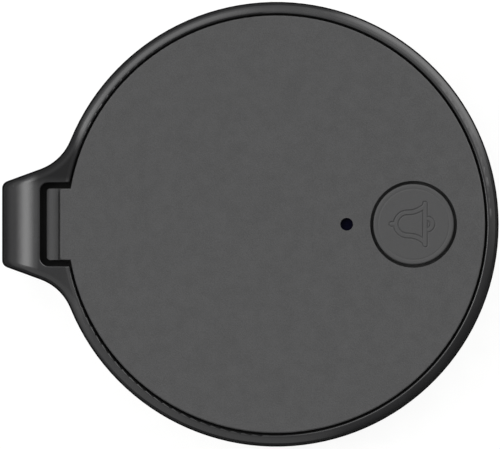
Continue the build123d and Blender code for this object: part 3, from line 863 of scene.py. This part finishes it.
def coin_can():
    """Top, round shoulder, side, crimped foot, and back up the inner side of the wall."""
    radius = (cell_high.x - cell_low.x) / 2
    top, foot = cell_high.z, cell_low.z
    flat = radius - SHOULDER_R
    face = np.stack([np.linspace(0, flat, CAN_ROWS), np.full(CAN_ROWS, top)], axis=1)
    shoulder = corner((flat, top - SHOULDER_R), SHOULDER_R, 90, 0)[1:]
    crimp = corner((radius - CRIMP_R, foot + CRIMP_R), CRIMP_R, 0, -90)
    lip_x = radius - CRIMP_R - CRIMP_LIP
    lip = np.array([(lip_x, foot), (lip_x, foot + CAN_WALL)])
    wall_x = radius - CAN_WALL
    inside = np.array([(wall_x - CAN_WALL, foot + CAN_WALL), (wall_x, foot + 2 * CAN_WALL),
                       (wall_x, top - 1.8 * CAN_WALL), (flat, top - CAN_WALL), (0, top - CAN_WALL)])
    grid = turned(np.concatenate([face, shoulder, crimp, lip, inside]), CAN_SIDES)
    stamped = grid[:len(face)]
    x, y = stamped[..., 0], stamped[..., 1] - PLUS_AWAY
    stamped[..., 2] -= STAMP_DEPTH * np.maximum(bar_depth(x, y), bar_depth(y, x))
    grid[..., 0] += cell_centre[0]
    return grid


can = solid_from("coin_can", [coin_can()], can_steel, "battery", crease=40)
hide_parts("cell_can")

# %% [markdown]
# ## The snap dome
# Under the plunger lies a thin steel dome that buckles when it is pressed and springs back, which gives
# the click. A rigid dome would be cut by the plunger; here it is a piece of its own with its own copy of
# the mesh, fixed to the case. Its section is two arcs of circles a sheet's thickness apart.

# %% Snap dome
dome_low, dome_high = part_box("switch_dome")
DOME_SHEET = 0.06 * MM
DOME_ROWS = 40
DOME_SIDES = 72


def snap_dome():
    """Outer arc from the crown to the rim, then the inner arc back, turned round the button's axis.

    An arc of half width w and rise h belongs to a circle whose radius is (w squared + h squared) / 2h.
    """
    half, rise = (dome_high.x - dome_low.x) / 2, dome_high.z - dome_low.z
    bow = (half ** 2 + rise ** 2) / (2 * rise)
    across = half * np.linspace(0, 1, DOME_ROWS)
    outer = np.sqrt(bow ** 2 - across ** 2) + dome_high.z - bow
    inner = np.maximum(outer - DOME_SHEET, dome_low.z)
    outer_side = np.stack([across, outer], axis=1)
    inner_side = np.stack([across, inner], axis=1)[::-1]
    return turned(np.concatenate([outer_side, inner_side]), DOME_SIDES, centre=(button_x, 0))


dome = solid_from("snap_dome", [snap_dome()], spring, "case")
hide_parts("switch_dome")
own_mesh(dome)

# %% [markdown]
# ## What the assembler adds to the board
# Bare blocks on a green disc do not look soldered. The chip gets its rows of pads, every small resistor
# and capacitor gets tinned ends, and each joint has its bead of solder. Beads are ellipsoids sunk half
# into the board, and ends are soft boxes that just wrap the part's own ends. The small parts are laid out
# as on the board itself: x, y in millimetres, and whether the part lies along Y.

# %% Tinned ends of the small parts
board_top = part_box("circuit_board")[1].z
SMALL_PARTS = [(7.6, -4.4, 0), (7.6, -5.6, 0), (7.6, -6.8, 0), (8.2, -8.6, 1), (6.9, -8.6, 1),
               (14.2, -4.4, 0), (14.2, -5.6, 0), (14.0, -6.8, 0), (7.9, 4.3, 0), (7.9, 5.5, 0),
               (13.6, 4.4, 0), (13.6, 5.6, 0)]
SMALL_LENGTH, SMALL_WIDTH, SMALL_HEIGHT = 1.0 * MM, 0.5 * MM, 0.35 * MM
END_LENGTH = 0.24 * MM
SKIN = 0.012 * MM


def oriented(size, along_y):
    """The size with X and Y swapped where the part lies along Y."""
    return (size[1], size[0], size[2]) if along_y else size


def part_ends():
    """Two tinned ends for each small part, a skin thicker than the ceramic."""
    grids = []
    for x, y, along_y in SMALL_PARTS:
        for side in (-1, 1):
            shift = side * (SMALL_LENGTH - END_LENGTH) / 2
            centre = (x * MM + (0 if along_y else shift), y * MM + (shift if along_y else 0),
                      board_top + SMALL_HEIGHT / 2)
            size = (END_LENGTH + SKIN, SMALL_WIDTH + 2 * SKIN, SMALL_HEIGHT + SKIN)
            grids.append(pillow(oriented(size, along_y), centre))
    return grids


solid_from("part_ends", part_ends(), solder, "case")

# %% Solder beads
# width, depth and height in millimetres
SMALL_BEAD = (0.42, 0.5, 0.34)
ANTENNA_BEAD = (1.3, 0.6, 0.5)
WIDE_BEAD = (0.6, 1.6, 0.5)
LEG_BEAD = (1.0, 0.7, 0.4)


def solder_beads():
    """Beads at the ends of small parts, under the crystal, the coil, the antenna and the switch's legs."""
    spots = []
    for x, y, along_y in SMALL_PARTS:
        for side in (-1, 1):
            shift = side * SMALL_LENGTH / 2 / MM
            spots.append((x + (0 if along_y else shift), y + (shift if along_y else 0), *SMALL_BEAD))
    for node, along_y in (("crystal", False), ("power_inductor", False), ("chip_antenna", True)):
        low, high = (corner_point / MM for corner_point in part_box(node))
        middle = (low + high) / 2
        if along_y:
            spots += [(middle.x, end, *ANTENNA_BEAD) for end in (low.y, high.y)]
        else:
            spots += [(end, middle.y, *WIDE_BEAD) for end in (low.x, high.x)]
    low, high = (corner_point / MM for corner_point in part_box("switch_terminals"))
    spots += [(x, y, *LEG_BEAD) for x in (low.x + 0.4, high.x - 0.4) for y in (low.y + 0.1, high.y - 0.1)]
    return [pillow((w * MM, d * MM, h * MM), (x * MM, y * MM, board_top), softness=0.9, rows=10, columns=18)
            for x, y, w, d, h in spots]


solid_from("solder_beads", solder_beads(), solder, "case")

# %% Pads and antenna ends
PAD_SIZE = (0.45 * MM, 0.2 * MM, 0.1 * MM)


def chip_pads():
    """Eight gilded pads along each side of the radio chip."""
    low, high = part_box("radio_chip")
    middle, half = (low + high) / 2, (high.x - low.x) / 2
    grids = []
    for step in np.linspace(-1.4, 1.4, 8) * MM:
        for side in (-1, 1):
            reach = side * (half + 0.12 * MM)
            beside = (middle.x + reach, middle.y + step, board_top)
            above = (middle.x + step, middle.y + reach, board_top)
            grids.append(pillow(oriented(PAD_SIZE, False), beside))
            grids.append(pillow(oriented(PAD_SIZE, True), above))
    return grids


def antenna_ends():
    """Tinned ends that wrap the ceramic antenna, and a narrow band round its middle."""
    low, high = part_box("chip_antenna")
    middle, size = (low + high) / 2, high - low
    return [pillow((size.x + 2 * SKIN, length, size.z + 2 * SKIN), (middle.x, y, middle.z + SKIN))
            for y, length in ((low.y + 0.3 * MM, 0.62 * MM), (high.y - 0.3 * MM, 0.62 * MM),
                              (middle.y, 0.3 * MM))]


solid_from("chip_pads", chip_pads(), gilding, "case")
solid_from("antenna_ends", antenna_ends(), solder, "case")

# %% [markdown]
# ## Tracks on the board
# Copper tracks run straight, turn by half a right angle and run straight again. That route has a formula:
# the sideways step is the distance walked, clipped between nothing and the whole step. Each track is a
# thin oval bar on such a path, paler than the mask round it as copper shines through, and ends in a
# gilded via.

# %% Tracks and vias
TRACK_WIDTH = 0.22 * MM
TRACK_HEIGHT = 0.03 * MM
VIA_SIDES = 16


def track_path(x, y, run, step, along_y=False):
    """Straight, a 45 degree shift, then straight: sideways is the sign of step times clipped distance."""
    walked = np.linspace(0, abs(run), 60)
    aside = np.sign(step) * np.clip(walked - 0.35 * abs(run), 0, abs(step))
    forward = np.sign(run) * walked
    x_path, y_path = (x + aside, y + forward) if along_y else (x + forward, y + aside)
    return np.stack([x_path, y_path, 0 * walked], axis=1) * MM + [0, 0, board_top]


TRACKS = [track_path(9.0, -5.0 - 0.4 * k, -4.2 - 0.5 * k, -0.6 * k, False) for k in range(5)]
TRACKS += [track_path(10.0 + 0.4 * k, -8.0, -3.0 - 0.35 * k, 0.5 * (k - 2), True) for k in range(5)]
TRACKS += [track_path(9.8 + 0.4 * k, -4.0, 1.2, 0.2, True) for k in range(3)]
TRACKS += [track_path(9.0, 5.0 + 0.5 * k, -3.8, 0.7 + 0.3 * k, False) for k in range(3)]
TRACKS += [track_path(10.0 + 0.6 * k, 6.6, 3.6 + 0.4 * k, -0.8 + 0.5 * k, True) for k in range(4)]


def vias():
    """A low ring with a dimple at the end of each track: one small profile in millimetres, turned."""
    profile = np.array([(0, -0.01), (0.07, 0.0), (0.1, 0.045), (0.2, 0.04),
                        (0.24, 0.0), (0.2, -0.02), (0, -0.02)])
    profile = profile * MM + [0, board_top]
    return [turned(profile, VIA_SIDES, centre=tuple(path[-1, :2])) for path in TRACKS]


track_bars = [ribbon(path, TRACK_WIDTH, TRACK_HEIGHT) for path in TRACKS]
solid_from("board_tracks", track_bars, track_green, "case")
solid_from("board_vias", vias(), gilding, "case")
